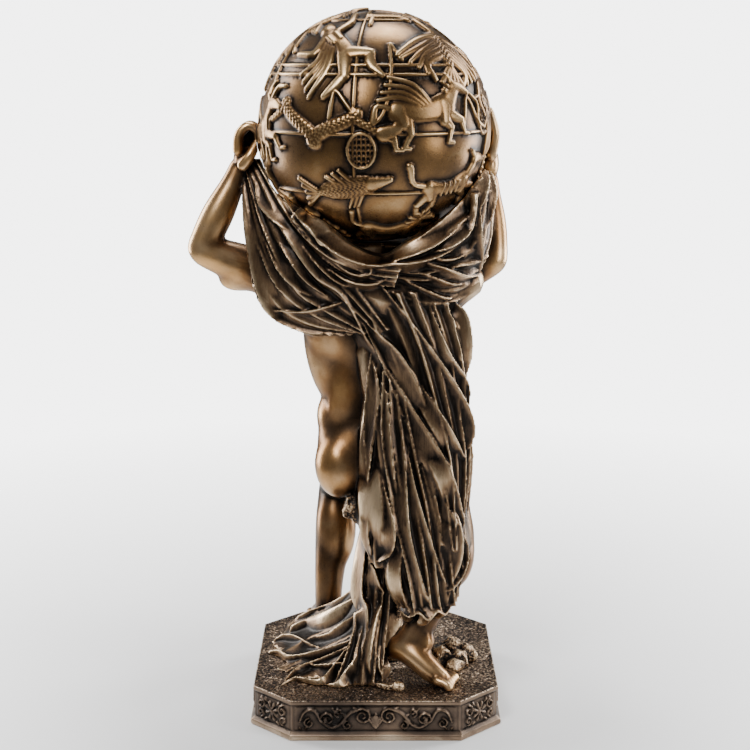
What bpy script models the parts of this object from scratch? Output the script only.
# Statuette of a kneeling-stride giant carrying a star globe on his shoulders,
# cast in bronze-finished resin on a cut-corner plinth with scroll relief.
import bpy
import bmesh
import math
import numpy as np

for item in list(bpy.data.objects):
    bpy.data.objects.remove(item, do_unlink=True)

# driving sizes, millimetres
plinthWidth = 106.0
plinthDepth = 110.0
plinthHeight = 17.5
plinthChamfer = 17.0
plinthLip = 1.5
globeRadius = 48.5
seatHeight = 206.9
jointGap = 0.3
reliefHeight = 1.7

# how finely each piece is cast
figureVoxel = 0.85
figureFaces = 5300
globeFaces = 2500
panelFaces = 95

# the man's joints are placed for a globe seat 189.4 mm above the ground he stands on
unit = (seatHeight - plinthHeight) / 189.4
globeShift = -0.8
globeCentre = np.array((globeShift, 0.0, seatHeight + globeRadius))

clay = []


def curve(points, count):
    points = np.asarray(points, float)
    n = len(points)
    if n == 2:
        f = np.linspace(0, 1, count)[:, None]
        return points[0] * (1 - f) + points[1] * f
    t = np.linspace(0, n - 1, count)
    i = np.clip(t.astype(int), 0, n - 2)
    f = (t - i)[:, None]
    ends = np.vstack([2 * points[0] - points[1], points, 2 * points[-1] - points[-2]])
    a, b, c, d = ends[i], ends[i + 1], ends[i + 2], ends[i + 3]
    return b + 0.5 * f * (c - a + f * (2 * a - 5 * b + 4 * c - d + f * (3 * (b - c) + d - a)))


def skin(rings):
    m, s, _ = rings.shape
    faces = []
    for i in range(m - 1):
        for j in range(s):
            k = (j + 1) % s
            faces.append((i * s + j, i * s + k, (i + 1) * s + k, (i + 1) * s + j))
    faces.append(tuple(reversed(range(s))))
    faces.append(tuple((m - 1) * s + j for j in range(s)))
    clay.append((rings.reshape(-1, 3), faces))


# a round limb through its joints, with rounded ends
def limb(points, radii, sides=14, steps=6, squash=1.0, side=(1, 0, 0)):
    count = (len(points) - 1) * steps + 1
    path = curve(points, count)
    rad = curve(np.asarray(radii, float)[:, None], count)[:, 0]
    tangent = np.gradient(path, axis=0)
    tangent /= np.linalg.norm(tangent, axis=1)[:, None]
    first, last = path[0], path[-1]
    caps = np.array((0.97, 0.8, 0.5))
    fall = np.array((0.25, 0.6, 0.87))
    head = [first - tangent[0] * rad[0] * c for c in caps]
    tail = [last + tangent[-1] * rad[-1] * c for c in caps[::-1]]
    path = np.vstack([head, path, tail])
    rad = np.concatenate([rad[0] * fall, rad, rad[-1] * fall[::-1]])
    tangent = np.vstack([[tangent[0]] * 3, tangent, [tangent[-1]] * 3])
    across = np.asarray(side, float)
    rings = []
    for p, t, r in zip(path, tangent, rad):
        across = across - t * across.dot(t)
        across /= np.linalg.norm(across)
        other = np.cross(t, across)
        turn = np.linspace(0, 2 * math.pi, sides, endpoint=False)
        ring = p + r * (np.cos(turn)[:, None] * across + squash * np.sin(turn)[:, None] * other)
        rings.append(ring)
    skin(np.array(rings))


# an egg-shaped muscle, half sizes along x, y, z, leaning by degrees about x then y
def muscle(centre, radii, leanX=0.0, leanY=0.0, leanZ=0.0, sides=16):
    rings = []
    for lat in np.linspace(-0.98, 0.98, 11):
        angle = lat * math.pi / 2
        turn = np.linspace(0, 2 * math.pi, sides, endpoint=False)
        ring = np.stack([np.cos(turn) * math.cos(angle), np.sin(turn) * math.cos(angle),
                         np.full(sides, math.sin(angle))], axis=1)
        rings.append(ring * radii)
    rings = np.array(rings)
    for axis, lean in ((0, leanX), (1, leanY), (2, leanZ)):
        a = math.radians(lean)
        c, s = math.cos(a), math.sin(a)
        i, j = [(1, 2), (2, 0), (0, 1)][axis]
        p, q = rings[..., i].copy(), rings[..., j].copy()
        rings[..., i] = c * p - s * q
        rings[..., j] = s * p + c * q
    skin(rings + np.asarray(centre, float))


# the trunk of the body, stacked oval levels (z, x, y, half width, half depth)
def trunk(levels):
    rows = curve(levels, 40)
    turn = np.linspace(0, 2 * math.pi, 28, endpoint=False)
    rings = []
    for z, x, y, w, d in rows:
        rings.append(np.stack([x + w * np.cos(turn), y + d * np.sin(turn), np.full(28, z)], axis=1))
    skin(np.array(rings))


# a pleated cloth panel laid between guide lines, ridges running along the guides
def drape(guides, pleats, ridge, thick, sway=0.15, fade=(1.0, 1.0), seed=0.0, core=(0, 6)):
    along = 10 * (len(guides[0]) - 1) + 1
    across = 12 * pleats + 1
    lines = np.array([curve(g, along) for g in guides])
    sheet = np.array([curve(lines[:, j], across) for j in range(along)])
    normal = np.cross(np.gradient(sheet, axis=1), np.gradient(sheet, axis=0))
    normal /= np.linalg.norm(normal, axis=2)[..., None] + 1e-9
    outward = sheet - np.array((core[0], core[1], 0.0))
    outward[..., 2] = 0
    if np.sum(normal * outward) < 0:
        normal = -normal
    u = np.linspace(0, 1, across)[None, :]
    v = np.linspace(0, 1, along)[:, None]
    drift = u + sway / pleats * np.sin(2.6 * math.pi * v + seed + 3.0 * u) * np.sin(math.pi * u)
    wave = 1 - np.abs(np.sin(math.pi * pleats * drift)) ** 0.8
    vary = 0.85 + 0.45 * np.sin(2.3 * pleats * drift + 1.7 * seed + 1.3 * v)
    ends = fade[0] * (1 - v) + fade[1] * v
    height = ridge * (wave * vary - 0.45) * ends
    body = thick * (0.5 + 0.5 * np.sin(math.pi * u)) * np.ones_like(v)
    outer = sheet + normal * height[..., None]
    inner = sheet - normal * body[..., None]
    skin(np.concatenate([outer, inner[:, ::-1]], axis=1))


# a fold of cloth: a thin crest with hollow flanks, standing away from the body's axis;
# wide folds are rounder
def fold(path, r, rise=None):
    count = (len(path) - 1) * 6 + 1
    line = curve(path, count)
    tangent = np.gradient(line, axis=0)
    tangent /= np.linalg.norm(tangent, axis=1)[:, None]
    if rise is None:
        out = line - np.array((-5.0, 9.0, 0.0))
        out[:, 2] = 0
    else:
        out = np.tile(np.asarray(rise, float), (count, 1))
    out -= tangent * (out * tangent).sum(axis=1)[:, None]
    out /= np.linalg.norm(out, axis=1)[:, None]
    across = np.cross(tangent, out)
    t = np.linspace(0, 1, count)
    taper = np.sin(math.pi * np.clip(t, 0.01, 0.99)) ** 0.55
    wide = r * (0.4 + 2.2 * taper)
    u = np.linspace(-1, 1, 13)
    full = min(1.0, max(0.0, (r - 2.5) / 0.7))
    slope = 3.3 * np.abs(u) ** (0.75 + 0.75 * full)
    rings = []
    for i in range(count):
        high = r * (2.0 * taper[i] - 0.95 - slope)
        top = line[i] + across[i] * (u * wide[i])[:, None] + out[i] * high[:, None]
        low = line[i] + across[i] * (u[::-1] * wide[i])[:, None] - out[i] * 4.8 * r
        rings.append(np.vstack([top, low]))
    skin(np.array(rings))


# an angular stone
def stone(centre, radii, seed):
    rings = []
    for i, lat in enumerate(np.linspace(-0.95, 0.95, 6)):
        angle = lat * math.pi / 2
        turn = np.linspace(0, 2 * math.pi, 7, endpoint=False) + 0.5 * math.sin(seed + i)
        rough = 1 + 0.3 * np.sin(3.1 * turn + 2.3 * i + seed)
        rings.append(np.stack([np.cos(turn) * math.cos(angle) * rough, np.sin(turn) * math.cos(angle) * rough,
                               np.full(7, math.sin(angle))], axis=1) * radii)
    skin(np.array(rings) + np.asarray(centre, float))


def body():
    trunk([(95, -6, 1, 15, 10), (106, -6, 1, 18.5, 14), (118, -6.5, 2, 19, 14),
           (127, -7, 3.5, 16.8, 12), (135, -7.5, 4, 15.6, 11), (147, -7.5, 5, 17.6, 12.5),
           (162, -7, 5, 22, 15), (174, -7, 6, 24.5, 15), (184, -7, 8, 24, 13),
           (192, -7, 10, 17, 10), (198, -8, 15, 11, 8)])
    for s in (-1, 1):
        muscle((-7 + s * 6.5, -3.6, 143), (7.5, 4.8, 30))
        muscle((-7 + s * 12.5, -3.6, 172), (12.5, 8, 19), leanY=s * 14)
        muscle((-7 + s * 15, 4, 160), (9, 12, 26), leanY=s * 8)
        muscle((-7 + s * 10.4, 5, 128), (8.6, 10.2, 12))
        muscle((-7 + s * 9.5, 16, 174), (11.5, 6.5, 9.5))
        muscle((-6 + s * 9.6, -3.4, 108), (11.2, 12, 15), leanX=-12)
        muscle((-7 + s * 13, 8, 190), (10, 9, 7), leanY=s * -20)
    for k in range(3):
        for s in (-1, 1):
            muscle((-7 + s * 4.6, 14.9 + 0.5 * k, 140 + 8.5 * k), (4.8, 3.8, 4.8))


def legs():
    limb([(-13.5, 6, 112), (-14.5, 25, 101), (-17, 44, 86)], [12.2, 10.8, 9.2])
    muscle((-13.5, 24, 102), (10.5, 19, 10.5), leanX=-35)
    limb([(-17.5, 45, 84), (-19, 39, 68), (-21.6, 32, 48), (-22.6, 27.5, 30)], [9.0, 9.0, 6.8, 5.6])
    muscle((-18.8, 36, 67), (9.2, 8.4, 20), leanX=-14)
    muscle((-17.5, 50, 85), (6, 4.4, 7))
    limb([(-23.5, 24, 24.5), (-25, 35, 24.5), (-27, 46, 20.5)], [5.8, 5.6, 4.6], squash=0.9)
    muscle((-23, 21.5, 22.5), (5, 5, 5.4))
    limb([(5, 4, 114), (20, 7, 101), (33, 7, 86)], [13, 11.8, 9.4])
    limb([(33, 6, 85), (34.6, -5, 71), (28, -17, 55), (20.5, -25, 42)], [9.2, 9.0, 7.4, 6.2])
    muscle((35.0, -8.4, 70), (8.8, 8.8, 17), leanX=-32)
    limb([(20.5, -25, 43), (15.5, -27, 35.5)], [6.2, 5.6])
    limb([(10.5, -26.5, 31.5), (16.5, -30.3, 29), (24.5, -35.6, 23), (29, -38.2, 20.6)],
         [5.0, 5.6, 4.8, 3.7])
    muscle((9.4, -26.5, 30.5), (4.4, 4.4, 5.6), leanY=25)
    muscle((21.5, -29, 34.5), (4.2, 4.2, 4.2))


def toes():
    for k in range(5):
        limb([(-31 + 2.7 * k, 46, 20.5), (-32 + 2.7 * k, 50.5 + 0.5 * k, 19.6)], [2.3, 1.8 + 0.1 * k])
        x, y = 26.6 + 1.15 * k, -41.0 + 1.95 * k
        limb([(x, y, 20.9), (x + 3.4, y - 1.8, 20.2), (x + 5.0 - 0.5 * k, y - 2.8, 18.9)],
             [2.2, 1.9, 1.9 - 0.13 * k], steps=4, sides=10)


def arms():
    muscle((-31, 8, 186), (11.5, 10.5, 11))
    limb([(-32, 8, 185), (-53, 4, 194), (-74, 0, 202.4)], [9.8, 9.2, 6.6])
    muscle((-52, 4.5, 195), (18, 8.4, 8.6), leanY=-22)
    muscle((-75.4, 0, 203.6), (6.0, 5.4, 5.8))
    limb([(-75.6, 0, 204), (-68.6, 1, 218), (-61.5, 2.4, 232), (-58.6, 3, 239)], [6.0, 6.6, 4.8, 4.2])
    muscle((19, 8, 186), (11.5, 10.5, 11))
    limb([(20, 8, 185), (36, 6.5, 191.5), (49.8, 5, 198.6)], [9.6, 9.0, 7.7])
    limb([(50.6, 5, 200.5), (50.3, 8, 214), (49.6, 11, 226), (49.0, 12, 233)], [7.0, 6.5, 4.8, 4.4])
    limb([(-8, 8, 190), (-9.5, 15, 196), (-11, 23, 199)], [11, 10.2, 9.2])
    muscle((-8, 6, 194), (16, 10, 6.6))


def hands():
    muscle((-57.6, 2.5, 243.5), (3.6, 6.4, 5.6), leanY=12)
    muscle((-55.4, 6.5, 249), (3.6, 3.6, 6.4))
    for k in range(4):
        y = -2.8 + 3.5 * k
        limb([(-58.8, y, 246), (-58.2, y, 252.5), (-54.4, y, 256.2), (-50.8, y, 254.2), (-50.6, y, 250.6)],
             [2.4, 2.3, 2.2, 1.9, 1.6], steps=4, sides=10)
    limb([(-56.5, -4.6, 240), (-53.5, -5.2, 244), (-51.2, -3.2, 248.5)], [2.8, 2.4, 2.0], steps=4, sides=10)
    muscle((49.2, 12, 239.5), (4.8, 7.4, 8.4))
    for k in range(4):
        y = 4 + 4.6 * k
        x = math.sqrt(50.6 ** 2 - y * y) - 0.4
        limb([(x, y + 1, 243.5), (x + 1.2, y - 0.4, 252), (x + 0.2, y - 1.2, 257.5), (x - 1.2, y - 1.6, 262.5)],
             [2.5, 2.3, 2.1, 1.7], steps=4, sides=10)
    limb([(46, 21, 236), (43, 27, 242), (40.8, 30, 248.5)], [3.0, 2.6, 2.0], steps=4, sides=10)


headPlace = (-11.0, 28.0, 199.0)


def head():
    x, y, z = headPlace
    muscle((x, y, z + 1.5), (9.8, 12.6, 11), leanX=-20)
    muscle((x, y + 5.6, z - 5.6), (7.8, 7.6, 9.2), leanX=8)
    muscle((x, y + 13.5, z - 3.8), (1.5, 2.2, 3.3), leanX=-16)
    for s in (-1, 1):
        muscle((x + s * 3.3, y + 11.8, z + 0.6), (3.5, 1.7, 1.4), leanY=s * 8)
        muscle((x + s * 3.3, y + 11.2, z - 2.3), (1.8, 1.4, 1.1))
        muscle((x + s * 5.0, y + 9.6, z - 5.6), (2.6, 2.8, 2.6))
        muscle((x + s * 9.6, y - 1, z - 2), (1.5, 2.5, 3.7))
        limb([(x + s * 1.0, y + 12.8, z - 7.8), (x + s * 4.2, y + 11.6, z - 9.4)], [1.6, 1.0], sides=8)
    muscle((x, y + 11.8, z - 9.6), (3.0, 1.7, 1.1))


# locks of hair swept back over the skull, then the beard
def hair():
    x, y, z = headPlace
    muscle((x, y - 2.5, z + 1.5), (10.4, 11.2, 11.4), leanX=-20)
    for row in range(4):
        for k in range(9):
            turn = math.radians(-100 + 25 * k + 9 * (row % 2))
            lift = math.radians(12 + 21 * row)
            a = x + 10.2 * math.sin(turn) * math.cos(lift)
            b = y - 1.5 - 11.2 * math.cos(turn) * math.cos(lift) + 1.5 * row
            c = z + 0.6 + 10.4 * math.sin(lift)
            limb([(a, b, c + 1.2), (a + 1.2 * math.sin(turn + 1.1), b - 0.9, c - 1.2),
                  (a + 0.4 * math.sin(turn), b - 0.4, c - 4.0)], [1.7, 2.2, 1.3], steps=3, sides=8)
    for k in range(7):
        a = x + (k - 3) * 2.9
        b = y + 10.2 - 0.16 * (k - 3) ** 2
        c = z + 5.2 - 0.10 * (k - 3) ** 2
        limb([(a, b - 2.4, c + 2.2), (a + 0.5, b + 0.4, c + 0.6), (a + 1.3, b + 0.3, c - 1.4)],
             [1.6, 2.0, 1.1], steps=3, sides=8)
    muscle((x, y + 7.2, z - 12.4), (7.2, 5.2, 6.6), leanX=20)
    for row in range(3):
        for k in range(6 - row):
            a = x + (k - (5 - row) / 2) * 2.9
            b = y + 10.4 - 0.12 * (a - x) ** 2 - 1.3 * row
            c = z - 10.8 - 2.9 * row + 0.06 * (a - x) ** 2
            limb([(a, b, c + 1.6), (a + 0.7, b + 0.7, c - 0.6), (a - 0.3 * (a - x) / 3, b - 0.1, c - 2.9)],
                 [1.7, 2.0, 1.2], steps=3, sides=8)


def cloak():
    # swag from the left hand down to the small of the back
    drape([[(-58, 2, 240), (-56, -6, 212), (-50.5, -8, 182), (-35, -11, 170), (-10, -15, 168)],
           [(-56, 0, 241), (-45.5, -14, 212), (-33, -18, 191), (-18, -20, 181), (-3, -20, 170)],
           [(-50, -1, 243), (-33, -20, 222), (-19, -24, 206), (-7, -25, 188), (5, -24, 171)]],
          7, 2.3, 9.0, fade=(0.6, 1.0), seed=0.4)
    # sling of cloth between the globe and the upper back
    drape([[(-34, -29, 222), (-20, -31, 208), (-4, -31, 201), (11, -30, 200)],
           [(-36, -26, 219), (-22, -26, 202), (-6, -26, 193), (8, -25, 190)]],
          4, 1.6, 14.0, seed=1.3)
    # folds gathered from the right arm to the middle of the back
    drape([[(3, -26, 203), (19, -28, 212), (33, -22, 223), (46, -9, 236)],
           [(2, -27, 200), (21, -27, 202), (38, -22, 208), (48, -10, 214)],
           [(2, -25, 197), (21, -24, 194), (38, -19, 196), (47, -8, 198)],
           [(3, -23, 190), (19, -22, 184), (32, -18, 183), (40, -10, 187)]],
          7, 2.0, 14.0, seed=2.2)
    # cloth thrown over the right forearm beside the globe
    drape([[(43, -20, 229), (40, -23, 214), (30, -26, 205)],
           [(50, -5, 229), (49, -9, 212), (45, -13, 199)],
           [(51, 8, 224), (50, 6, 212), (47, 2, 198)]],
          5, 1.6, 6.0, seed=3.1)
    # the broad fall crossing the back to the right leg
    drape([[(-13, -19, 190), (-1, -20, 165), (10, -21, 140), (21, -24, 110), (30, -28, 78)],
           [(8, -25, 188), (20, -25, 163), (27, -26, 137), (32, -28, 111), (35, -30, 76)],
           [(28, -19, 187), (36, -19, 162), (38, -19, 137), (40.5, -18, 111), (38, -22, 84)],
           [(34, -5, 184), (38.5, 0, 160), (39, 2, 134), (42, 1, 110), (40, -8, 86)]],
          9, 2.6, 11.0, seed=4.0)
    # upright folds below, hanging to the hem above the right foot
    drape([[(-2, -17, 160), (-5, -16, 130), (-2, -21, 97), (6, -28, 66), (11, -31, 50)],
           [(6, -22, 150), (8, -24, 124), (12, -28, 95), (18, -34, 67), (21, -36, 50)],
           [(15, -22, 140), (21, -24, 115), (26, -27, 90), (30, -31, 64), (32, -32, 50)],
           [(24, -22, 132), (32, -24, 108), (36, -25, 86), (38, -26, 68), (37, -25, 53)]],
          9, 2.4, 10.0, seed=5.2)
    # hanging end on the left, and the tail falling to the ground
    drape([[(-3, -13, 124), (-5.5, -15, 100), (-5.5, -19, 82), (-3, -22, 68)],
           [(1, -20, 126), (0, -22, 101), (2, -26, 82), (2, -26, 66)],
           [(6, -20, 120), (7, -22, 98), (9, -25, 82), (6, -24, 68)]],
          3, 1.2, 9.0, seed=6.0)
    drape([[(-4, -14, 78), (-6, -18, 52), (-12, -28, 31), (-18, -36, 17)],
           [(0, -21, 74), (-1, -25, 49), (-4, -33, 31), (-7, -39, 17)],
           [(7, -20, 72), (6, -25, 48), (4, -32, 30), (3, -37, 17)]],
          4, 1.8, 10.0, seed=7.4)
    # the end spread over the ground on the left
    drape([[(-3, -5, 60), (-16, 12, 38), (-41, 28, 21)],
           [(-5, -11, 50), (-24, 4, 31), (-48, 10, 18)],
           [(-4, -19, 43), (-24, -8, 25), (-43, -8, 17.5)],
           [(-3, -26, 35), (-24, -22, 21), (-45, -31, 17)],
           [(-3, -29, 29), (-11, -33, 21), (-17, -37, 17)]],
          5, 1.6, 9.0, seed=8.3, core=(10, 10))
    # smooth corner lying over the right calf
    drape([[(27, -25, 98), (31, -28, 78), (33, -30, 64), (31, -32, 52)],
           [(35, -22, 98), (39.5, -22, 77), (37.5, -24, 62), (35, -26, 53)],
           [(39, -12, 96), (42, -12, 77), (40, -14, 64), (36, -18, 54)]],
          2, 0.8, 9.0, seed=9.1)
    # cloth carried over the left shoulder to the front, and the lap cloth
    drape([[(-10, 22, 128), (6, 24, 122), (18, 18, 120), (28, 6, 124)],
           [(-10, 24, 114), (4, 27, 106), (18, 22, 104), (33, 8, 108)],
           [(-6, 22, 96), (4, 26, 84), (18, 22, 80), (36, 12, 88)]],
          5, 2.4, 9.0, seed=2.9, core=(-5, 0))
    # bunched cloth inside the folds
    limb([(-30, -10, 206), (-4, -12, 188), (20, -10, 184), (38, -4, 190)], [7, 12, 13, 9])
    limb([(10, -12, 188), (24, -10, 160), (27, -8, 130), (30, -10, 104), (32, -14, 80)],
         [12, 12, 11, 10, 8])
    limb([(0, -8, 160), (6, -12, 130), (10, -16, 100), (14, -20, 72), (22, -24, 60)],
         [9, 10, 10, 9, 6])
    muscle((-2, 3, 201), (30, 15, 14))
    muscle((28, 0, 198), (18, 14, 11))


# ridges of the folds, grouped by the part of the cloak they lie on
def folds():
    swag = [
        ([(-57, 0, 237), (-55, -5, 220), (-53, -8, 206), (-46, -9, 180), (-26, -9, 167), (-9, -16, 171)], 2.1),
        ([(-52, -5, 233), (-48, -9, 224), (-41, -16, 217), (-35, -20, 213)], 2.2),
        ([(-47, -10, 225), (-36, -19, 211), (-24, -21, 195), (-13, -22, 186), (-2, -18, 162)], 2.8),
        ([(-45, -10, 178), (-31, -14, 178), (-20, -19, 181), (-12, -22, 184)], 1.7),
        ([(-50, -9, 193), (-47, -9, 185), (-42, -10, 179)], 1.7),
        ([(-54, -6, 219), (-47, -11, 202), (-42, -13, 191), (-37, -14, 182)], 1.8),
        ([(-50, -9, 216), (-42, -15, 200), (-34, -17, 190), (-24, -18, 184)], 1.9),
        ([(-45, -13, 214), (-35, -19, 201), (-28, -20, 192), (-20, -21, 185)], 2.0)]
    sling = [
        ([(-24, -27, 206), (-11, -27, 197), (-4, -27, 196), (-2, -28, 199), (-6, -26, 203)], 2.1),
        ([(-23, -22, 200), (-11, -25, 193), (0, -25, 192), (8, -26, 197)], 2.3),
        ([(-33, -28, 220), (-26, -29, 215), (-22, -30, 209), (-17, -28, 208)], 1.8),
        ([(-32, -21, 210), (-24, -22, 200), (-15, -23, 192), (-6, -23, 189)], 2.0),
        ([(-40, -20, 228), (-30, -27, 218), (-18, -31, 207), (-5, -32, 201), (8, -31, 200)], 1.9),
        ([(-38, -20, 220), (-27, -26, 210), (-16, -28, 202), (-4, -28, 198)], 1.9)]
    bundle = [
        ([(4, -30, 201), (16, -30, 205), (28, -26, 211), (41, -17, 221)], 1.9),
        ([(-2, -30, 201), (12, -30, 201), (26, -27, 204), (38, -22, 210)], 2.0),
        ([(21, -28, 205), (29, -27, 207), (36, -24, 211), (42, -21, 216)], 1.8),
        ([(10, -29, 204), (21, -27, 203), (31, -24, 202), (42, -18, 205)], 1.8),
        ([(13, -28, 203), (26, -25, 199), (37, -18, 194), (45, -9, 193)], 2.1),
        ([(10, -26, 199), (21, -23, 195), (31, -20, 191), (41, -12, 190)], 2.1),
        ([(9, -24, 195), (17, -22, 190), (28, -20, 185), (34, -17, 185)], 2.4),
        ([(44, -17, 225), (43, -19, 214), (44, -14, 202), (45, -8, 193)], 1.9),
        ([(42, -19, 219), (45, -15, 229), (48.5, -6, 238)], 1.9),
        ([(47, -12, 212), (49.5, -7, 226), (50.5, 2, 237)], 1.8)]
    fall = [
        ([(2, -26, 192), (18, -24, 170), (34, -22, 145), (41, -20, 130), (42, -20, 119)], 2.4),
        ([(-4, -23, 188), (0, -22, 172), (8, -22, 163), (15, -23, 152), (20, -24, 139), (19, -23, 130)], 2.0),
        ([(-8, -21, 176), (-2, -17, 164), (14, -22, 138), (29, -27, 115), (35, -27, 102)], 2.5),
        ([(21, -22, 186), (30, -23, 162), (38, -18, 148), (41, -18, 136)], 1.9),
        ([(33, -17, 184), (38, -17, 176), (39.5, -16, 160), (38, -10, 145)], 2.0),
        ([(28, -20, 183), (33, -18, 172), (38, -12, 156)], 1.6),
        ([(18, -24, 150), (26, -26, 137), (34, -26, 123), (40, -18, 110)], 1.8),
        ([(21, -24, 130), (26, -26, 120), (32, -28, 108), (37, -25, 89), (38, -22, 83)], 1.8)]
    uprights = [
        ([(-2, -17, 159), (1, -19, 146), (-1, -18, 126), (-3, -19, 109), (-5, -17, 95)], 1.9),
        ([(4, -21, 149), (6, -23, 121), (9, -26, 98)], 1.7),
        ([(11, -30, 80), (10, -31, 64), (13, -32, 51)], 1.6),
        ([(10, -22, 141), (12, -25, 110), (14, -30, 83), (20, -34, 61), (23, -35, 53)], 1.9),
        ([(13, -23, 124), (16, -26, 103), (25, -30, 73), (34, -29, 52)], 2.0),
        ([(19, -24, 122), (25, -26, 96), (28, -30, 72)], 1.8)]
    corner = [
        ([(27, -27, 101), (34, -29, 89), (38.5, -23, 76), (38, -24, 67), (34, -29, 60), (30, -32, 58)], 1.9),
        ([(29, -26, 102), (34, -27, 88), (35, -27, 72), (31, -30, 56)], 2.9),
        ([(10, -31, 50), (14, -34, 47.5), (18, -35, 50), (22, -37, 47.6), (26, -35, 50.6), (30, -34, 48.6),
          (34, -30, 53)], 1.3)]
    pendant = [
        ([(1, -19, 116), (1.5, -21, 102), (2.5, -24, 86), (2, -25.5, 73)], 3.2),
        ([(-2, -18, 106), (-3, -20, 94), (-3.4, -22, 82), (-2, -24, 72)], 1.4),
        ([(2, -22, 110), (5.4, -26, 95), (7.6, -29, 84), (6.4, -28.5, 75), (1, -28, 69.5)], 1.7),
        ([(-4, -18, 69), (-1, -21, 65), (2, -23, 57), (5, -23, 54)], 2.0),
        ([(-3, -15, 84), (-5, -17, 68), (-6, -19, 54), (-4, -24, 48), (-4, -27, 39), (-6, -31, 31), (-7, -36, 21)], 2.3),
        ([(4, -22, 56), (0, -26, 44), (-2, -30, 35), (-3, -34, 26), (-2, -36, 20)], 2.8),
        ([(2, -29, 35), (1, -33, 26), (3, -36, 20)], 2.2)]
    spread = [
        ([(-41, 28, 22), (-33, 23, 27), (-23, 20, 31), (-18, 12, 37), (-8, 2, 50)], 2.2),
        ([(-39, 12, 28), (-30, 12, 27), (-21, 3, 32), (-13, -3, 40), (-7, -6, 49)], 4.0),
        ([(-29, -1, 26), (-21, -7, 28), (-14, -12, 35), (-8, -14, 42)], 2.0),
        ([(-50, 12, 18), (-43, 10, 21), (-36, 4, 22), (-28, -6, 22), (-17, -18, 26)], 2.1),
        ([(-49, -2, 20), (-44, -4, 19), (-36, -12, 19), (-15, -19, 28), (-8, -26, 37)], 2.1),
        ([(-43, -41, 18), (-35, -33, 18), (-24, -37, 18), (-17, -27, 23), (-8, -25, 38)], 1.9),
        ([(-24, -37, 18), (-17, -40, 18), (-13, -35, 20), (-9, -33, 26), (-7, -30, 33)], 2.2),
        ([(-42, -40, 18), (-35, -25, 19), (-24, -20, 21), (-14, -22, 27), (-8, -28, 35)], 1.8),
        ([(-41, -24, 18), (-34, -20, 18), (-24, -24, 20), (-14, -31, 26)], 1.6)]
    for group in (swag, sling, bundle, fall, uprights, corner, pendant):
        for path, r in group:
            path = np.array(path, float)
            away = path - np.array((-5.0, 8.0, 0.0))
            away[:, 2] = 0
            path += 1.0 * away / np.linalg.norm(away, axis=1)[:, None]
            fold(path, r)
    for path, r in spread:
        fold(np.array(path, float) + (0, 0, 0.6), 1.2 * r, rise=(-0.25, -0.35, 0.9))


def ground():
    limb([(3, 6, 17), (4, 4, 45), (3, 3, 75), (2, 3, 100)], [13, 9.5, 8.5, 9])
    for k in range(7):
        turn = 2 * math.pi * k / 7
        x, y = math.cos(turn), math.sin(turn)
        limb([(3 + 13 * x, 6 + 13 * y, 17), (4 + 8.6 * x, 4 + 8.6 * y, 45),
              (3 + 7.5 * x, 3 + 7.5 * y, 80)], [3.2, 2.2, 1.8], sides=8)
    limb([(0, -2, 80), (-5, -7, 85), (-9.6, -10.5, 90)], [6, 5.2, 4.6])
    limb([(0, -6, 88), (-3, -11, 96), (-2, -13, 104)], [6, 5.6, 4.6])
    for k in range(4):
        turn = math.pi * k / 2 + 0.4
        stone((-9.8 + 3.0 * math.cos(turn), -11.4, 89.5 + 4.2 * math.sin(turn)), (2.6, 2.6, 3.0), turn)
    for k in range(8):
        turn = 2.4 * k + 0.6
        far = math.sqrt((k + 0.3) / 8)
        tall = 6.2 + 3.4 * (1 - far) + 1.8 * math.sin(5.1 * k)
        stone((34 + 8.5 * far * math.cos(turn), -7 + 12 * far * math.sin(turn), 17.6),
              (6.4 - 1.6 * far, 6.0 - 1.4 * far, tall), 1.7 * k)
    for k in range(8):
        turn = 2 * math.pi * k / 8 + 0.3
        muscle((3 + 17 * math.cos(turn), 10 + 15 * math.sin(turn), 18), (7, 6, 3.4 + 1.1 * (k % 3)))
    muscle((9.6, -42.6, 18.5), (3.2, 2.6, 2.8))
    limb([(1, -38, 17.5), (5, -41.5, 18), (9.6, -42.6, 18)], [2.2, 1.9, 1.9], sides=8)
    limb([(14, 4, 18), (22, -2, 18.5), (30, -8, 19)], [5, 4.4, 4.4])


# a drawing is a list of strokes (points, widths, height, grain) on a flat sheet in mm
def stroke(points, width, height, grain=""):
    points = np.asarray(points, float)
    return [(points, np.broadcast_to(np.asarray(width, float), len(points)), height, grain)]


def smooth(points, width, height, count=12, grain=""):
    points = curve(points, count)
    if np.ndim(width):
        width = curve(np.asarray(width, float)[:, None], count)[:, 0]
    return stroke(points, width, height, grain)


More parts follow.
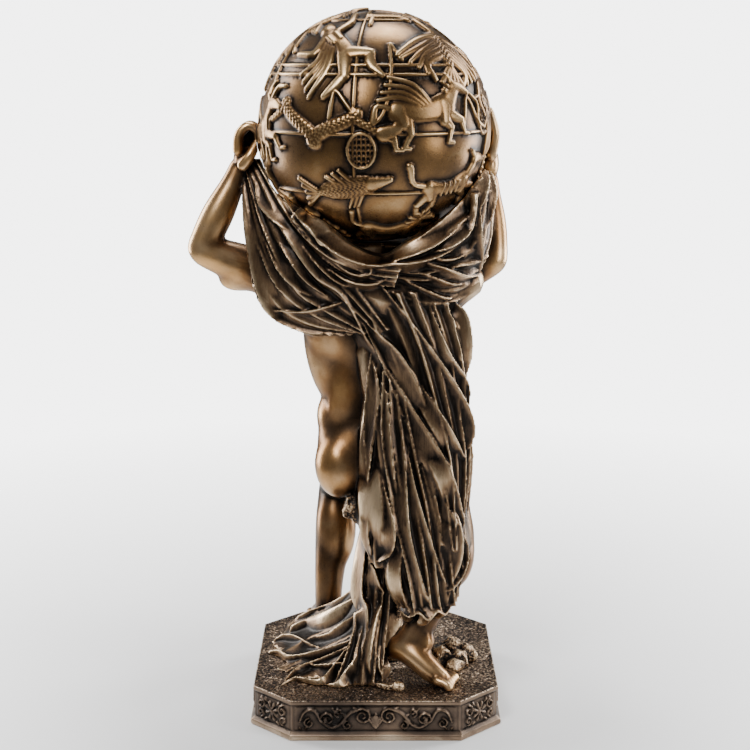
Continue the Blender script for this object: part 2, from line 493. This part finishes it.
# each stroke swells to a rounded ridge, plain or cut with scales, stripes or bars
def raised(sheet, strokes):
    height = np.zeros(len(sheet))
    for points, widths, top, grain in strokes:
        low = points.min(axis=0) - widths.max()
        high = points.max(axis=0) + widths.max()
        near = np.all((sheet > low) & (sheet < high), axis=1)
        if not near.any():
            continue
        spot = sheet[near]
        best = np.zeros(len(spot))
        along = np.zeros(len(spot))
        side = np.zeros(len(spot))
        run = 0.0
        for a, b, wa, wb in zip(points[:-1], points[1:], widths[:-1], widths[1:]):
            d = b - a
            length = max(np.linalg.norm(d), 1e-6)
            t = np.clip((spot - a).dot(d) / length ** 2, 0, 1)
            away = spot - a - t[:, None] * d
            gap = np.linalg.norm(away, axis=1) / (wa + (wb - wa) * t)
            rise = np.clip(1 - gap ** 2.4, 0, 1) ** 0.55
            nearer = rise > best
            along = np.where(nearer, run + t * length, along)
            side = np.where(nearer, (d[0] * away[:, 1] - d[1] * away[:, 0]) / length, side)
            best = np.maximum(best, rise)
            run += length
        if grain == "scales":
            best *= 0.83 + 0.17 * np.cos(4.6 * along + 2 * side ** 2) * np.cos(5.2 * side)
        if grain == "stripes":
            best *= 0.80 + 0.20 * np.cos(6.0 * side)
        if grain == "bars":
            best *= 0.80 + 0.20 * np.cos(4.2 * along)
        height[near] = np.maximum(height[near], best * top)
    return height


def spiral(x, y, r, turns, start, width, height, hand=1):
    t = np.linspace(0, 1, 14)
    turn = start + hand * turns * 2 * math.pi * t
    pts = np.stack([x + r * (1 - 0.82 * t) * np.cos(turn), y + r * (1 - 0.82 * t) * np.sin(turn)], axis=1)
    return stroke(pts, width * (1 - 0.3 * t), height)


# two-part legs of a beast: (hip, knee, foot) for each leg
def paws(legs, thick):
    d = []
    for hip, knee, foot in legs:
        d += smooth([hip, knee], [thick, 0.62 * thick], 0.95, 4)
        d += smooth([knee, foot], [0.6 * thick, 0.4 * thick], 0.8, 4)
        d += smooth([foot, (foot[0] + 1.7, foot[1] - 0.3)], [0.75, 0.6], 0.75, 3)
    return d


def quadruped(kind):
    thick = {"hound": 2.7, "lion": 3.5, "bull": 4.1, "horse": 3.4, "ram": 3.5}[kind]
    d = smooth([(-7.4, 0.8), (-1, 0.2), (6, 1.2)], [thick, thick * 0.84, thick * 1.12], 1.0)
    d += smooth([(-7.6, 0.9), (-6.6, -2.4)], [thick * 0.9, thick * 0.6], 1.12, 4)
    d += smooth([(5.6, 1.4), (5.4, -2.2)], [thick * 0.9, thick * 0.6], 1.12, 4)
    d += paws([((-7.6, -1.5), (-9.8, -4.8), (-9.0, -8.8)), ((-5.6, -1.5), (-5.0, -5.2), (-7.0, -8.6)),
               ((4.6, -1.4), (7.4, -4.4), (6.4, -8.2)), ((6.8, -0.8), (11.2, -2.6), (12.2, -6.0))], 1.9)
    d += smooth([(7, 2.2), (10.2, 6.0)], [thick * 0.85, 2.0], 1.0, 5)
    d += smooth([(10, 6.3), (12.2, 5.9), (14.6, 4.6)], [2.3, 1.7, 1.0], 1.05, 5)
    d += smooth([(9.4, 7.8), (8.2, 9.4)], [0.9, 0.6], 1.0, 3)
    tail = 5 if kind in ("hound", "lion") else -4
    d += smooth([(-9.4, 1.8), (-13, 3), (-14.4, 3 + tail)], [1.0, 0.8, 1.1], 0.8, 8)
    if kind == "hound":
        for k in range(4):
            d += smooth([(-2.8 + 1.9 * k, 2.2), (-3.4 + 1.9 * k, -1.6)], [0.45, 0.35], 1.12, 4)
    if kind == "lion":
        for k in range(9):
            a = 0.2 + 0.6 * k
            d += smooth([(9.6, 5.4), (9.4 + 4.4 * math.cos(a), 5.2 + 4.4 * math.sin(a))], [1.0, 0.7], 0.9, 3)
    if kind in ("bull", "ram"):
        d += smooth([(10.4, 7.6), (12.5, 10.4), (15.4, 10.0)], [1.0, 0.9, 0.6], 0.9, 6)
        d += smooth([(9, 7.4), (8.4, 10.6), (10.4, 12.4)], [1.0, 0.9, 0.6], 0.8, 6)
        d += smooth([(8.6, 0.6), (9.2, 3.4)], [1.4, 1.2], 1.1, 4, "stripes")
    if kind == "horse":
        for k in range(4):
            d += smooth([(1.4 - 1.2 * k, 2), (-2.4 - 1.6 * k, 7.4 - 0.9 * k), (-8.6 - 1.3 * k, 10.2 - 1.9 * k)],
                        [1.2, 1.0, 0.6], 0.9, 7)
        d += smooth([(7, 5.4), (9.4, 8.4)], [1.2, 0.9], 0.95, 4, "bars")
    return d


# beasts and objects of the star globe, drawn about the origin and roughly 26 mm long
def beast(kind):
    d = []
    if kind == "fish":
        d += smooth([(-9, 0.2), (-3, 0.6), (4, 0.3), (10, 0)], [1.2, 3.7, 3.6, 1.6], 1.0, 14, "scales")
        d += smooth([(7.2, 0.1), (12.4, -0.2)], [2.6, 1.1], 1.12, 4)
        for k in range(5):
            d += smooth([(-8.6, 0.2), (-13.4 - 0.5 * abs(k - 2), 4.4 - 2.2 * k)], [0.7, 0.9], 0.8, 4)
        for k in range(3):
            d += smooth([(1.6 - 2.2 * k, 3.0), (-0.8 - 2.2 * k, 6.4 - 0.7 * k)], [0.8, 0.6], 0.75, 3)
            d += smooth([(3.4 - 1.4 * k, -2.8), (1.2 - 1.4 * k, -6.0)], [0.7, 0.5], 0.7, 3)
    elif kind == "serpent":
        t = np.linspace(0, 1, 30)
        pts = np.stack([-18 + 34 * t + 2.6 * np.sin(20 * t), 5.6 * np.sin(10 * t) * (1 - 0.35 * t)], axis=1)
        d += stroke(pts, 0.9 + 1.2 * np.sin(math.pi * t), 0.9, "scales")
        d += smooth([(16.4, -0.6), (20.2, 1.6)], [2.3, 1.2], 1.05, 4)
    elif kind in ("hound", "lion", "bull", "horse", "ram"):
        d += quadruped(kind)
    elif kind in ("bird", "swan"):
        d += smooth([(-6, -1), (0, 0), (5, 0.5)], [1.8, 3.0, 1.8], 1.0, 8, "scales")
        for s in (-1, 1):
            for k in range(5):
                d += smooth([(2.4 - 1.5 * k, s * 1.2), (-1.0 - 1.4 * k, s * 6), (-4.5 - 1.5 * k, s * (12.4 - 2 * k))],
                            [1.2, 1.1, 0.7], 0.85, 7)
            d += smooth([(3, s * 1.4), (0.6, s * 7), (-3.6, s * 13)], [1.5, 1.1, 0.7], 1.0, 7)
        reach = 13.5 if kind == "swan" else 8.8
        d += smooth([(5, 0.5), (0.5 * (5 + reach), 2.4), (reach, 1.2)], [1.5, 1.1, 1.4], 1.0, 6)
        d += smooth([(reach, 1.2), (reach + 2.6, 0.4)], [1.0, 0.5], 0.9, 3)
        for k in range(-2, 3):
            d += smooth([(-6, -1), (-11.5 + 0.4 * abs(k), -1.2 + 1.8 * k)], [1.1, 0.8], 0.8, 4)
    elif kind == "crab":
        d += smooth([(-3.4, 0), (3.4, 0)], [4.6, 4.6], 1.0, 4, "bars")
        for s in (-1, 1):
            for k in range(4):
                a = -0.9 + 0.5 * k
                x, y = s * (5.4 + 3.6 * math.cos(a)), 6.6 * math.sin(a) - 1
                d += smooth([(s * 4, 0), (x, y + 1.5), (x + s * 0.8, y - 1.2)], [1.0, 0.8, 0.6], 0.8, 5)
            d += smooth([(s * 3, 3), (s * 7.4, 6.8), (s * 5.6, 9.6)], [1.3, 1.6, 2.0], 1.0, 7)
            d += smooth([(s * 5.6, 9.6), (s * 2.2, 11)], [1.4, 0.6], 1.0, 4)
    elif kind == "scorpion":
        d += smooth([(8, 0), (2, 0.4), (-4, 0), (-9, 2.4), (-10.5, 6.4), (-7.2, 8.8)],
                    [3.0, 2.8, 1.9, 1.4, 1.2, 0.8], 1.0, 20, "bars")
        for s in (-1, 1):
            d += smooth([(8.5, s * 1.4), (13, s * 5), (16.4, s * 2.2)], [1.1, 1.1, 1.7], 1.0, 7)
            for k in range(4):
                d += smooth([(6 - 2.7 * k, s * 1.6), (6.4 - 3.4 * k, s * 5.4), (4.6 - 3.4 * k, s * 7.2)],
                            [0.9, 0.8, 0.6], 0.8, 5)
    elif kind in ("runner", "kneeler"):
        bend = 4.6 if kind == "runner" else 6.4
        d += smooth([(0.5, 8.8), (0.7, 9.4)], [2.2, 2.0], 1.1, 3)
        d += smooth([(0, 6), (0.4, 1), (0, -3)], [2.7, 2.1, 2.5], 1.0, 6)
        d += smooth([(-0.9, 5), (-0.7, 2.2)], [1.2, 1.0], 1.18, 3)
        d += smooth([(1.2, 5), (1.2, 2.2)], [1.2, 1.0], 1.18, 3)
        d += smooth([(0.6, -3), (bend, -6)], [2.2, 1.5], 1.05, 4)
        d += smooth([(bend, -6), (bend - 1.4, -9), (bend - 0.6, -12.6)], [1.4, 1.5, 0.8], 0.95, 6)
        d += smooth([(-0.6, -3), (-3.6, -7.8)], [2.2, 1.5], 1.05, 4)
        d += smooth([(-3.6, -7.8), (-7, -8.4), (-10.4, -8.4)], [1.4, 1.4, 0.8], 0.95, 6)
        d += smooth([(1.6, 5.6), (6, 7), (8.8, 11)], [1.5, 1.2, 0.9], 0.95, 7)
        d += smooth([(-1.6, 5.6), (-6, 3.6), (-8.6, 7.6)], [1.5, 1.2, 0.9], 0.95, 7)
        for k in range(4):
            d += smooth([(-1.6, 4.6 - 1.3 * k), (-6.4, 0.6 - 1.4 * k), (-11.4 - 0.6 * k, 1.2 - 2.2 * k)],
                        [0.9, 1.1, 0.6], 0.75, 8)
    elif kind == "robed":
        d += smooth([(0.4, 10), (0.7, 10.6)], [2.2, 2.0], 1.1, 3)
        for k in range(7):
            x = 0.95 * (k - 3)
            d += smooth([(0.5 * x, 7.6), (x, 2), (1.1 * x - 0.6, -4), (1.9 * x - 1.5, -11.4)],
                        [1.0, 0.95, 0.9, 0.8], 0.95, 10)
        for k in range(3):
            d += smooth([(-3.2, 4.4 - 1.8 * k), (0, 1.4 - 1.9 * k), (3.6, 3.4 - 1.4 * k)], [0.7, 0.8, 0.6], 1.15, 7)
        d += smooth([(1.8, 7), (6.4, 5), (9.4, 8.6)], [1.5, 1.2, 0.9], 0.95, 7)
        d += smooth([(-1.8, 7), (-5.6, 4), (-4.6, -0.6)], [1.5, 1.2, 0.9], 0.95, 7)
    elif kind == "vase":
        d += smooth([(0, -7), (0, -1), (0, 5)], [1.8, 4.8, 2.1], 1.0, 10, "stripes")
        for y, x in ((6.6, 2.8), (-8.4, 2.6)):
            d += smooth([(-x, y), (x, y)], [1.1, 1.1], 1.0, 3)
        for s in (-1, 1):
            d += smooth([(s * 2, 5.8), (s * 7.6, 4.4), (s * 4.8, -0.8)], [0.9, 0.9, 0.9], 0.9, 8)
    elif kind == "ship":
        d += smooth([(-13, 5), (-7, -2.0), (4, -3), (12, 3.6)], [0.9, 2.9, 3.2, 0.9], 1.0, 14, "stripes")
        d += smooth([(0, -2), (0, 11)], [0.8, 0.6], 0.9, 4)
        d += smooth([(-7, 9.4), (0, 6.8), (7, 9.4)], [0.7, 3.4, 0.7], 0.85, 9, "bars")
        for k in range(5):
            d += smooth([(-7 + 3.6 * k, -4), (-9.5 + 3.6 * k, -9)], [0.6, 0.6], 0.75, 3)
    elif kind == "shield":
        t = np.linspace(0, 2 * math.pi, 25)
        d += stroke(np.stack([5.2 * np.cos(t), 6.6 * np.sin(t)], axis=1), 0.75, 0.9)
        for k in range(-2, 3):
            d += smooth([(1.7 * k, -5.6 + 0.5 * k * k), (1.7 * k, 5.6 - 0.5 * k * k)], 0.42, 0.55, 3)
            d += smooth([(-4.6 + 0.4 * k * k, 2.1 * k), (4.6 - 0.4 * k * k, 2.1 * k)], 0.42, 0.55, 3)
    elif kind == "harp":
        for s in (-1, 1):
            d += smooth([(0, -7), (s * 5, -3), (s * 2.8, 3), (s * 6.4, 8)], [1.0, 1.1, 0.9, 0.8], 0.95, 12)
        d += smooth([(-4.6, 5.4), (4.6, 5.4)], [0.7, 0.7], 0.9, 3)
        for k in range(4):
            d += smooth([(0.8 * (k - 1.5), -6), (1.3 * (k - 1.5), 5.2)], 0.36, 0.6, 3)
    elif kind == "ribbon":
        t = np.linspace(0, 1, 46)
        pts = np.stack([-17 + 34 * t + 4.6 * np.sin(2 * math.pi * t * 1.5 + 0.6),
                        6.2 * np.sin(2 * math.pi * t * 1.5) + 2.4 * np.cos(7 * t)], axis=1)
        d += stroke(pts, 0.72, 0.7)
    return d


# where each drawing stands on the globe: kind, longitude from the back, latitude, turn, size
def skyChart():
    chart = []
    belt = ["horse", "robed", "scorpion", "lion", "vase", "ram", "serpent"]
    for k, kind in enumerate(belt):
        lon = 360.0 / 7 * k + 26
        chart.append((kind, lon, 3 + 8 * math.sin(math.radians(lon + 30)), 12 * math.sin(1.7 * k) + 4, 1.5))
    north = ["runner", "swan", "hound", "kneeler", "ship"]
    for k, kind in enumerate(north):
        chart.append((kind, 72.0 * k - 22, 44, 34 * math.sin(2.1 * k) + 44, 1.65))
    for k, kind in enumerate(("serpent", "bird", "fish")):
        chart.append((kind, 120.0 * k + 50, 72, 50 * k, 1.05))
    south = ["fish", "hound", "bird", "harp", "serpent", "kneeler"]
    for k, kind in enumerate(south):
        chart.append((kind, 60.0 * k - 14, -28, 24 * math.sin(1.3 * k + 1) - 8, 1.4))
    for k, kind in enumerate(("lion", "serpent", "swan", "bull", "crab")):
        chart.append((kind, 72.0 * k + 14, -57, 16 * math.sin(2.3 * k), 1.2))
    for k in range(5):
        chart.append(("ribbon", 72.0 * k - 2, 20 - 6 * (k % 2), 64 * math.sin(1.9 * k + 0.7), 1.3))
        chart.append((("shield", "harp")[k % 2], 72.0 * k - 6, (-8, 10)[k % 2], 12 * k, 1.05))
    return chart


def circleLine(angle, target, width, top):
    gap = np.abs(angle - math.radians(target)) * globeRadius / width
    return top * np.sqrt(np.clip(1 - gap * gap, 0, 1))


def skyRelief(points):
    lat = np.arcsin(np.clip(points[:, 2], -1, 1))
    height = np.zeros(len(points))
    for target, width, top in ((-0.5, 0.8, 0.5), (28, 0.8, 0.6), (33, 0.8, 0.6),
                               (-30, 0.8, 0.5), (66, 0.8, 0.5)):
        height = np.maximum(height, circleLine(lat, target, width, top))
    lon = np.arctan2(points[:, 0], -points[:, 1])
    for k in range(4):
        turn = math.radians(90 * k - 10)
        away = np.sin(lon - turn) * np.cos(lat)
        line = circleLine(away, 0, 0.8, 0.5)
        height = np.maximum(height, np.where(np.cos(lon - turn) > 0, line, 0))
    for kind, east, north, turn, size in skyChart():
        e, n, t = math.radians(east), math.radians(north), math.radians(turn)
        out = np.array((math.sin(e) * math.cos(n), -math.cos(e) * math.cos(n), math.sin(n)))
        right = np.array((math.cos(e), math.sin(e), 0.0))
        up = np.cross(out, right)
        ahead = math.cos(t) * right + math.sin(t) * up
        above = math.cos(t) * up - math.sin(t) * right
        near = points.dot(out) > 0.78
        spot = points[near]
        sheet = np.stack([spot.dot(ahead), spot.dot(above)], axis=1) * globeRadius / size
        height[near] = np.maximum(height[near], raised(sheet, beast(kind)))
    calm = np.clip((np.degrees(lat) + 74) / 5, 0, 1)
    return height * reliefHeight * calm


def globe(detail):
    mesh = bpy.data.meshes.new("celestial_globe")
    form = bmesh.new()
    bmesh.ops.create_icosphere(form, subdivisions=detail, radius=1.0)
    form.to_mesh(mesh)
    form.free()
    points = np.empty(len(mesh.vertices) * 3)
    mesh.vertices.foreach_get("co", points)
    points = points.reshape(-1, 3)
    points /= np.linalg.norm(points, axis=1)[:, None]
    radius = globeRadius + skyRelief(points)
    placed = (points * radius[:, None] + globeCentre) * 0.001
    mesh.vertices.foreach_set("co", placed.ravel())
    piece = bpy.data.objects.new("celestial_globe", mesh)
    bpy.context.collection.objects.link(piece)
    return piece


def outline(grow):
    w, d = plinthWidth / 2 + grow, plinthDepth / 2 + grow
    c = plinthChamfer + grow * (2 - math.sqrt(2))
    return [(w, d - c), (w - c, d), (c - w, d), (-w, d - c), (-w, c - d), (c - w, -d), (w - c, -d), (w, c - d)]


def plinth():
    levels = [(0.0, plinthLip - 0.5), (0.5, plinthLip), (2.3, plinthLip), (3.0, 0.3), (3.8, -0.5),
              (plinthHeight - 2.4, -0.5), (plinthHeight - 1.6, 0.2), (plinthHeight - 0.5, 0.2),
              (plinthHeight, -0.3)]
    rings = [[(x * 0.001, y * 0.001, z * 0.001) for x, y in outline(grow)] for z, grow in levels]
    verts = [v for ring in rings for v in ring]
    faces = []
    for i in range(len(levels) - 1):
        for j in range(8):
            k = (j + 1) % 8
            faces.append((i * 8 + j, i * 8 + k, i * 8 + 8 + k, i * 8 + 8 + j))
    faces.append(tuple(reversed(range(8))))
    faces.append(tuple(8 * (len(levels) - 1) + j for j in range(8)))
    mesh = bpy.data.meshes.new("plinth")
    mesh.from_pydata(verts, [], faces)
    piece = bpy.data.objects.new("plinth", mesh)
    bpy.context.collection.objects.link(piece)
    return piece


def scrollwork(half):
    d = []
    if half > 20:
        for s in (-1, 1):
            d += spiral(s * 5.4, 1.8, 3.6, 1.25, math.pi / 2, 1.15, 1.0, hand=s)
            d += smooth([(s * 5.4, 5.2), (s * 12, 2.0), (s * 17, -3.0), (s * 22, -2.6), (s * 24, 0.8)],
                        [1.2, 1.5, 1.3, 1.2, 0.9], 1.0, 12)
            d += spiral(s * 21.4, 0.8, 3.2, 1.0, 0.0, 1.0, 0.9, hand=s)
            for k in range(3):
                d += smooth([(s * (26 + 0.6 * k), -1.0), (s * (29.5 + 1.2 * k), 3.4 - 3.4 * k)],
                            [1.4, 0.9], 0.9, 4)
            for k in range(2):
                d += smooth([(s * (14.2 + 3.6 * k), 4.0), (s * (14.3 + 3.6 * k), 4.1)], [1.2, 1.2], 0.9, 3)
            d += smooth([(s * 9, -1.6), (s * 6, -4.4), (s * 2.4, -3.6)], [1.3, 1.2, 0.8], 0.9, 6)
        d += smooth([(0, -3.8), (0, 3.4)], [1.5, 0.9], 1.0, 4)
    else:
        for k in range(5):
            a = math.pi / 2 + 2 * math.pi * k / 5
            d += smooth([(1.3 * math.cos(a), 1.3 * math.sin(a)), (3.2 * math.cos(a), 3.2 * math.sin(a))],
                        [1.3, 1.5], 0.9, 3)
        d += smooth([(0, 0), (0.1, 0)], [1.5, 1.5], 1.15, 3)
        for s in (-1, 1):
            d += smooth([(s * 5.4, -2.6), (s * 8.2, 0.6)], [1.5, 0.9], 0.9, 4)
            d += smooth([(s * 5.4, 2.6), (s * 8.6, 3.4)], [1.3, 0.8], 0.8, 4)
    return d


# one carved field for each side, a plate standing a little proud of the face
def fields(step):
    plates = []
    corners = outline(-0.5)
    low, high = 4.3, plinthHeight - 2.9
    for k in range(8):
        a = np.array(corners[k])
        b = np.array(corners[(k + 1) % 8])
        middle = (a + b) / 2
        along = (b - a) / np.linalg.norm(b - a)
        out = np.array((along[1], -along[0]))
        if out.dot(middle) < 0:
            out = -out
        half = np.linalg.norm(b - a) / 2 - 1.2
        nx = int(2 * half / step) + 1
        ny = int((high - low) / step) + 1
        s, t = np.meshgrid(np.linspace(-half, half, nx), np.linspace(low, high, ny))
        sheet = np.stack([s.ravel(), t.ravel() - (low + high) / 2], axis=1)
        lift = 0.3 + 0.95 * raised(sheet, scrollwork(half))
        edge = (np.abs(s.ravel()) > half - 1e-6) | (t.ravel() < low + 1e-6) | (t.ravel() > high - 1e-6)
        lift[edge] = 0.3
        backing = -1.2
        front = [tuple(np.append(middle + along * p[0] + out * h, z) * 0.001)
                 for p, h, z in zip(sheet, lift, t.ravel())]
        back = [tuple(np.append(middle + along * p[0] + out * backing, z) * 0.001)
                for p, z in zip(sheet, t.ravel())]
        n = nx * ny
        faces = []
        for j in range(ny - 1):
            for i in range(nx - 1):
                q = j * nx + i
                faces.append((q, q + 1, q + nx + 1, q + nx))
                faces.append((n + q, n + q + nx, n + q + nx + 1, n + q + 1))
        rim = list(range(nx)) + [nx - 1 + nx * j for j in range(1, ny)]
        rim += [nx * (ny - 1) + i for i in range(nx - 2, -1, -1)] + [nx * j for j in range(ny - 2, 0, -1)]
        for p, q in zip(rim, rim[1:] + rim[:1]):
            faces.append((p, n + p, n + q, q))
        mesh = bpy.data.meshes.new("field")
        mesh.from_pydata(front + back, [], faces)
        plate = bpy.data.objects.new("field", mesh)
        bpy.context.collection.objects.link(plate)
        square(plate)
        lighten(plate, panelFaces * (2 if half > 20 else 1))
        plates.append(plate)
    return plates


def pour(name, voxel, soften, swell):
    verts, polys, start = [], [], 0
    for points, sides in clay:
        verts.append(points)
        polys.extend([tuple(i + start for i in f) for f in sides])
        start += len(points)
    clay.clear()
    mesh = bpy.data.meshes.new(name)
    mesh.from_pydata((np.vstack(verts) * 0.001).tolist(), [], polys)
    piece = bpy.data.objects.new(name, mesh)
    bpy.context.collection.objects.link(piece)
    shape = piece.modifiers.new("cast", "REMESH")
    shape.mode = "VOXEL"
    shape.voxel_size = voxel * 0.001
    ease = piece.modifiers.new("ease", "SMOOTH")
    ease.factor = 0.5
    ease.iterations = soften
    settle(piece)
    for point, normal in zip(piece.data.vertices, [v.normal.copy() for v in piece.data.vertices]):
        point.co += normal * swell * 0.001
    return piece


# a softened casting goes back among the clay, as one lump
def reuse(piece):
    mesh = piece.data
    points = np.empty(len(mesh.vertices) * 3)
    mesh.vertices.foreach_get("co", points)
    clay.append((points.reshape(-1, 3) * 1000, [tuple(f.vertices) for f in mesh.polygons]))
    bpy.data.objects.remove(piece, do_unlink=True)


def settle(piece):
    graph = bpy.context.evaluated_depsgraph_get()
    done = bpy.data.meshes.new_from_object(piece.evaluated_get(graph))
    piece.modifiers.clear()
    piece.data = done


def square(piece):
    form = bmesh.new()
    form.from_mesh(piece.data)
    bmesh.ops.remove_doubles(form, verts=form.verts, dist=0.00002)
    bmesh.ops.recalc_face_normals(form, faces=form.faces)
    form.to_mesh(piece.data)
    form.free()


def lighten(piece, target):
    form = bmesh.new()
    form.from_mesh(piece.data)
    bmesh.ops.triangulate(form, faces=form.faces)
    form.to_mesh(piece.data)
    form.free()
    thin = piece.modifiers.new("thin", "DECIMATE")
    thin.ratio = min(1.0, target / len(piece.data.polygons))
    settle(piece)


def join(piece, tool, way):
    cut = piece.modifiers.new("cut", "BOOLEAN")
    cut.operation = way
    cut.solver = "EXACT"
    cut.object = tool
    settle(piece)
    bpy.data.objects.remove(tool, do_unlink=True)


# round tool around the globe: close under it, clear of the relief above
def globeTool():
    around, steps = 32, 20
    rings = []
    for i in range(1, steps):
        lat = -math.pi / 2 + math.pi * i / steps
        blend = min(1.0, max(0.0, (math.degrees(lat) + 80) / 5))
        r = (globeRadius + jointGap + blend * reliefHeight) * 1.0082
        turn = np.linspace(0, 2 * math.pi, around, endpoint=False)
        rings.append(np.stack([r * math.cos(lat) * np.cos(turn), r * math.cos(lat) * np.sin(turn),
                               np.full(around, r * math.sin(lat))], axis=1))
    rings = np.array(rings) + globeCentre
    skin(rings)
    points, faces = clay.pop()
    pole = len(points)
    lowest = tuple(globeCentre - (0, 0, (globeRadius + jointGap) * 1.002))
    highest = tuple(globeCentre + (0, 0, (globeRadius + jointGap + reliefHeight) * 1.002))
    verts = [tuple(p) for p in points] + [lowest, highest]
    faces = faces[:-2]
    last = (steps - 2) * around
    for j in range(around):
        k = (j + 1) % around
        faces.append((k, j, pole))
        faces.append((last + j, last + k, pole + 1))
    mesh = bpy.data.meshes.new("globeTool")
    mesh.from_pydata([(x * 0.001, y * 0.001, z * 0.001) for x, y, z in verts], [], faces)
    tool = bpy.data.objects.new("globeTool", mesh)
    bpy.context.collection.objects.link(tool)
    square(tool)
    return tool


def block(low, high):
    mesh = bpy.data.meshes.new("block")
    form = bmesh.new()
    bmesh.ops.create_cube(form, size=1.0)
    for v in form.verts:
        for i in range(3):
            v.co[i] = (low[i] if v.co[i] < 0 else high[i]) * 0.001
    form.to_mesh(mesh)
    form.free()
    tool = bpy.data.objects.new("block", mesh)
    bpy.context.collection.objects.link(tool)
    return tool


def metal(name, colour, rough):
    stuff = bpy.data.materials.new(name)
    stuff.use_nodes = True
    shader = stuff.node_tree.nodes["Principled BSDF"]
    shader.inputs["Base Color"].default_value = colour
    shader.inputs["Metallic"].default_value = 0.85
    shader.inputs["Roughness"].default_value = rough
    return stuff


body()
legs()
arms()
reuse(pour("bare", figureVoxel / unit, 60, 0.75))
toes()
hands()
head()
hair()
cloak()
folds()
ground()
figure = pour("figure", figureVoxel / unit, 2, 0.0)
for point in figure.data.vertices:
    point.co.x *= unit
    point.co.y *= unit
    point.co.z = plinthHeight * 0.001 + (point.co.z - 0.0175) * unit
floor = plinthHeight + jointGap
reach = plinthWidth + plinthDepth
join(figure, block((-reach, -reach, -reach), (reach, reach, floor + 0.6)), "DIFFERENCE")
lighten(figure, figureFaces)
join(figure, globeTool(), "DIFFERENCE")
join(figure, block((-reach, -reach, -reach), (reach, reach, floor)), "DIFFERENCE")
figure.data.materials.clear()
figure.data.materials.append(metal("cast_bronze", (0.42, 0.25, 0.12, 1.0), 0.38))

ball = globe(7)
lighten(ball, globeFaces)
ball.data.materials.append(metal("globe_bronze", (0.45, 0.28, 0.13, 1.0), 0.36))

base = plinth()
for plate in fields(0.55):
    join(base, plate, "UNION")
base.data.materials.clear()
base.data.materials.append(metal("plinth_bronze", (0.34, 0.22, 0.12, 1.0), 0.45))
for piece in (figure, ball, base):
    piece.data.shade_smooth()
    piece.data.set_sharp_from_angle(angle=math.radians(32))
    print(piece.name, len(piece.data.polygons), sum(len(p.vertices) - 2 for p in piece.data.polygons))
